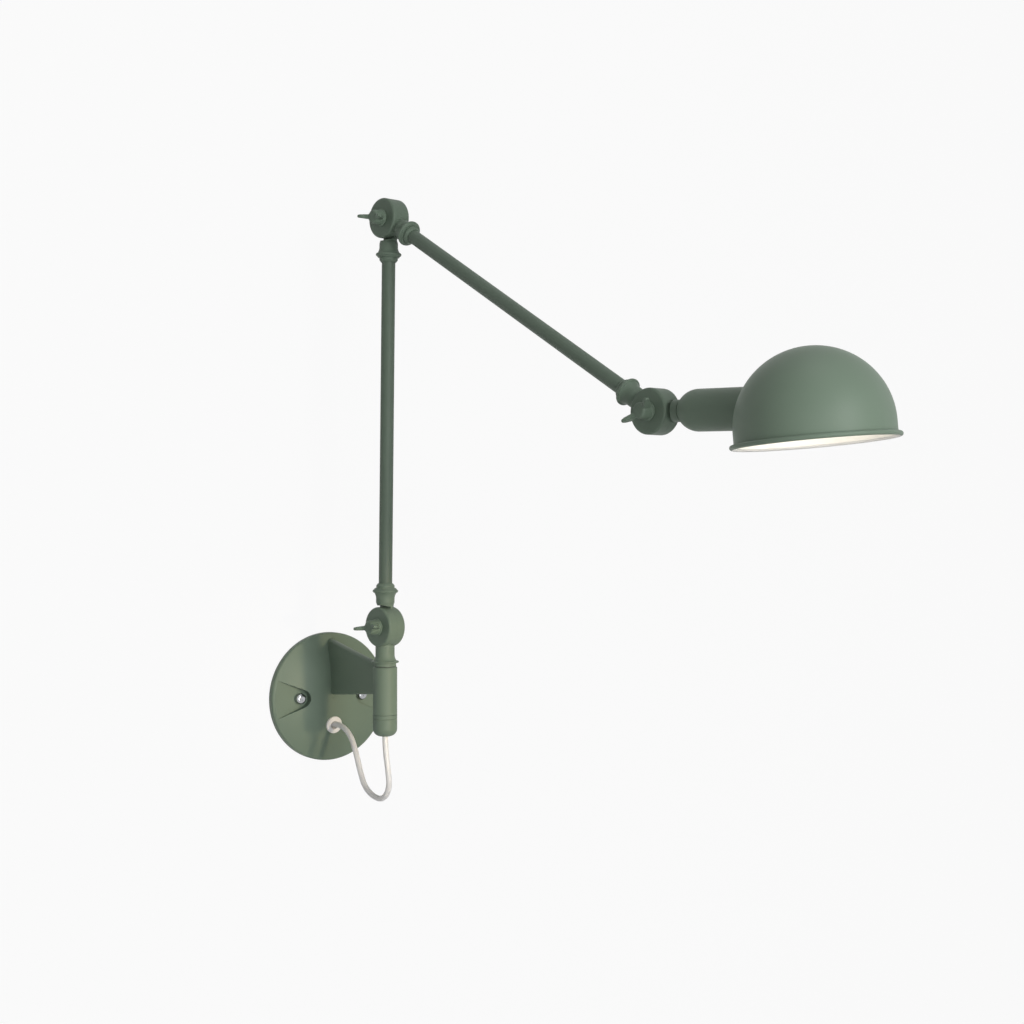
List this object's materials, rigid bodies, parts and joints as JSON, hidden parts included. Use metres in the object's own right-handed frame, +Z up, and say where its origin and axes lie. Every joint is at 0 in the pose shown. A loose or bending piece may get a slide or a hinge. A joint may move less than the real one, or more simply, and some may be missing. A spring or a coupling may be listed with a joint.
{
  "type": "swing arm wall lamp",
  "caption": "Swing arm wall lamp with a round backplate, a folding tube arm with wing screw knuckles, a lampholder cup and a domed metal shade.",
  "frame": {"origin": "centre of the backplate on the wall face, midway between the mounting slots", "axes": "+X right along the wall, -Y out of the wall, +Z up"},
  "size_m": [0.2218, 0.7029, 0.6055],
  "materials": {
    "sage_paint": "matt sage green powder coat",
    "bright_chrome": "polished",
    "zinc_steel": "zinc plated",
    "yellow_brass": "satin",
    "white_plastic": "moulded, matt",
    "cord_sheath": "smooth, satin",
    "dark_plastic": "moulded, matt",
    "frosted_glass": "frosted"
  },
  "bodies": {
    "wall_base": {"backplate": "sage_paint", "mounting_plate": "zinc_steel", "canopy_screws": "bright_chrome", "bracket_screws": "zinc_steel", "ground_screw": "zinc_steel", "terminal_block": "white_plastic", "terminal_screws": "zinc_steel", "inner_leads": "cord_sheath", "cord_grommet": "white_plastic", "supply_cord": "cord_sheath", "barrel_cord": "cord_sheath", "arm_bracket": "sage_paint", "barrel_cap": "sage_paint", "swivel_bush": "dark_plastic", "stop_pin": "zinc_steel"},
    "swivel": {"swivel_neck": "sage_paint", "swivel_spindle": "zinc_steel", "swivel_washer": "zinc_steel", "swivel_nut": "zinc_steel", "neck_cord": "cord_sheath"},
    "lower_arm": {"lower_arm_foot": "sage_paint", "lower_arm_tube": "sage_paint", "lower_arm_top": "sage_paint", "lower_arm_cord": "cord_sheath", "lower_knuckle_washer": "dark_plastic", "elbow_washer": "dark_plastic"},
    "upper_arm": {"upper_arm_root": "sage_paint", "upper_arm_tube": "sage_paint", "upper_arm_tip": "sage_paint", "upper_arm_cord": "cord_sheath"},
    "head_mount": {"head_neck": "sage_paint", "head_nipple": "zinc_steel", "head_swivel_washer": "zinc_steel", "head_swivel_nut": "zinc_steel", "head_cord": "cord_sheath", "head_knuckle_washer": "dark_plastic"},
    "lamp_head": {"socket_cup": "sage_paint", "lampholder_body": "dark_plastic", "lampholder_ring": "dark_plastic", "lampholder_shell": "yellow_brass", "centre_contact": "yellow_brass", "shade": "sage_paint", "bulb_base": "yellow_brass", "bulb_glass": "frosted_glass"},
    "lower_wing": {"lower_wing_screw": "sage_paint"},
    "elbow_wing": {"elbow_wing_screw": "sage_paint"},
    "head_wing": {"head_wing_screw": "sage_paint"}
  },
  "joints": [
    {"name": "arm_swing", "type": "hinge", "parent": "wall_base", "child": "swivel", "pos_m": [0, -0.1237, 0.0408], "axis": [0, 0, 1], "range_deg": [-99.57, 80.43]},
    {"name": "lower_knuckle", "type": "hinge", "parent": "swivel", "child": "lower_arm", "pos_m": [0, -0.1237, 0.0807], "axis": [-0.9861, -0.1663, 0], "range_deg": [-85, 10]},
    {"name": "elbow", "type": "hinge", "parent": "lower_arm", "child": "upper_arm", "pos_m": [0.00103, -0.12981, 0.48885], "axis": [-0.9861, -0.1663, 0], "range_deg": [-10, 120]},
    {"name": "head_tilt", "type": "hinge", "parent": "upper_arm", "child": "head_mount", "pos_m": [0.0594, -0.47603, 0.28063], "axis": [-0.9861, -0.1663, 0], "range_deg": [-90, 90]},
    {"name": "head_swivel", "type": "hinge", "parent": "head_mount", "child": "lamp_head", "pos_m": [0.06489, -0.50856, 0.27996], "axis": [0.1662, -0.9859, -0.0204], "range_deg": [-90, 90]},
    {"name": "lower_wing_turn", "type": "hinge", "parent": "lower_arm", "child": "lower_wing", "pos_m": [0, -0.1237, 0.0807], "axis": [-0.9861, -0.1663, 0], "range_deg": [-180, 180]},
    {"name": "elbow_wing_turn", "type": "hinge", "parent": "lower_arm", "child": "elbow_wing", "pos_m": [0.00103, -0.12981, 0.48885], "axis": [-0.9861, -0.1663, 0], "range_deg": [-180, 180]},
    {"name": "head_wing_turn", "type": "hinge", "parent": "head_mount", "child": "head_wing", "pos_m": [0.0594, -0.47603, 0.28063], "axis": [-0.9861, -0.1663, 0], "range_deg": [-180, 180]}
  ]
}
